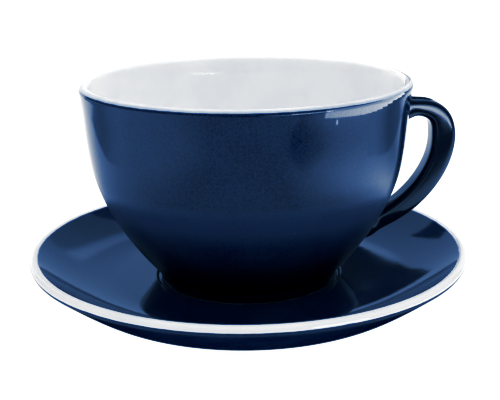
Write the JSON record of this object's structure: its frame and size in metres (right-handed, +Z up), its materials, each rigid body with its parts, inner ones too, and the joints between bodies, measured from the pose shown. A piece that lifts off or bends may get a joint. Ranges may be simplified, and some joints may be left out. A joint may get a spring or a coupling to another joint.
{
  "type": "cup with saucer",
  "caption": "Low, wide round cup with an ear-shaped handle, navy glazed outside and white inside, standing in the shallow well of a matching saucer with a white rim.",
  "frame": {"origin": "middle of the saucer's foot ring, on the table", "axes": "+Z up along the cup's and the saucer's common axis, +X towards the cup's handle"},
  "size_m": [0.1552, 0.1552, 0.0799],
  "materials": {
    "navy_glaze": "glossy navy-blue glaze on stoneware, bare clay under the foot rings",
    "white_glaze": "glossy white glaze"
  },
  "bodies": {
    "saucer": {"saucer": "navy_glaze", "saucer_rim_glaze": "white_glaze"},
    "cup": {"cup_bowl": "navy_glaze", "cup_handle": "navy_glaze", "cup_liner_glaze": "white_glaze"}
  },
  "joints": [
    {"name": "cup_lift", "type": "slide", "parent": "saucer", "child": "cup", "axis": [0, 0, 1], "range_m": [0, 0.08]}
  ]
}
